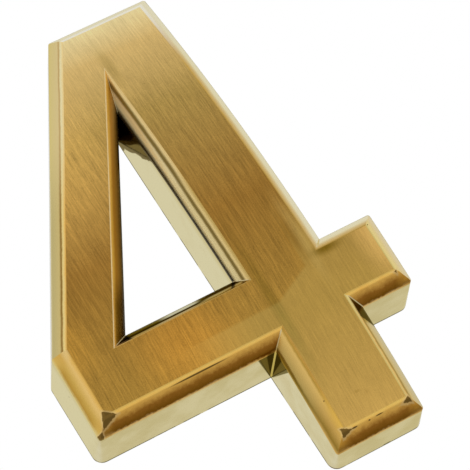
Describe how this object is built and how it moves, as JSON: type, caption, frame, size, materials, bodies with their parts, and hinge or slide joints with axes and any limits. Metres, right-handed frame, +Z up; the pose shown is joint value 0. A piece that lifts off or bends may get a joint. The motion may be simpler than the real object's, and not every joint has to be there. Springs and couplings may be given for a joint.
{
  "type": "adhesive door number",
  "caption": "Bold numeral four for a door or gate, with an arched, bevelled and brushed front and a self-adhesive foam pad in its flat back.",
  "frame": {"origin": "on the back of the adhesive pad, where the middle of the stem crosses the middle of the crossbar", "axes": "+Z up along the stem as the numeral is fixed, +X to the numeral's right, and the front faces -Y"},
  "size_m": [0.0326, 0.0081, 0.05],
  "materials": {
    "plated_bronze": "hard plastic plated in antique bronze, brushed along the front and bright on the sides",
    "foam_tape": "soft white closed-cell foam with a clear tacky back"
  },
  "bodies": {
    "root": {"numeral_body": "plated_bronze", "adhesive_pad": "foam_tape"}
  },
  "joints": []
}
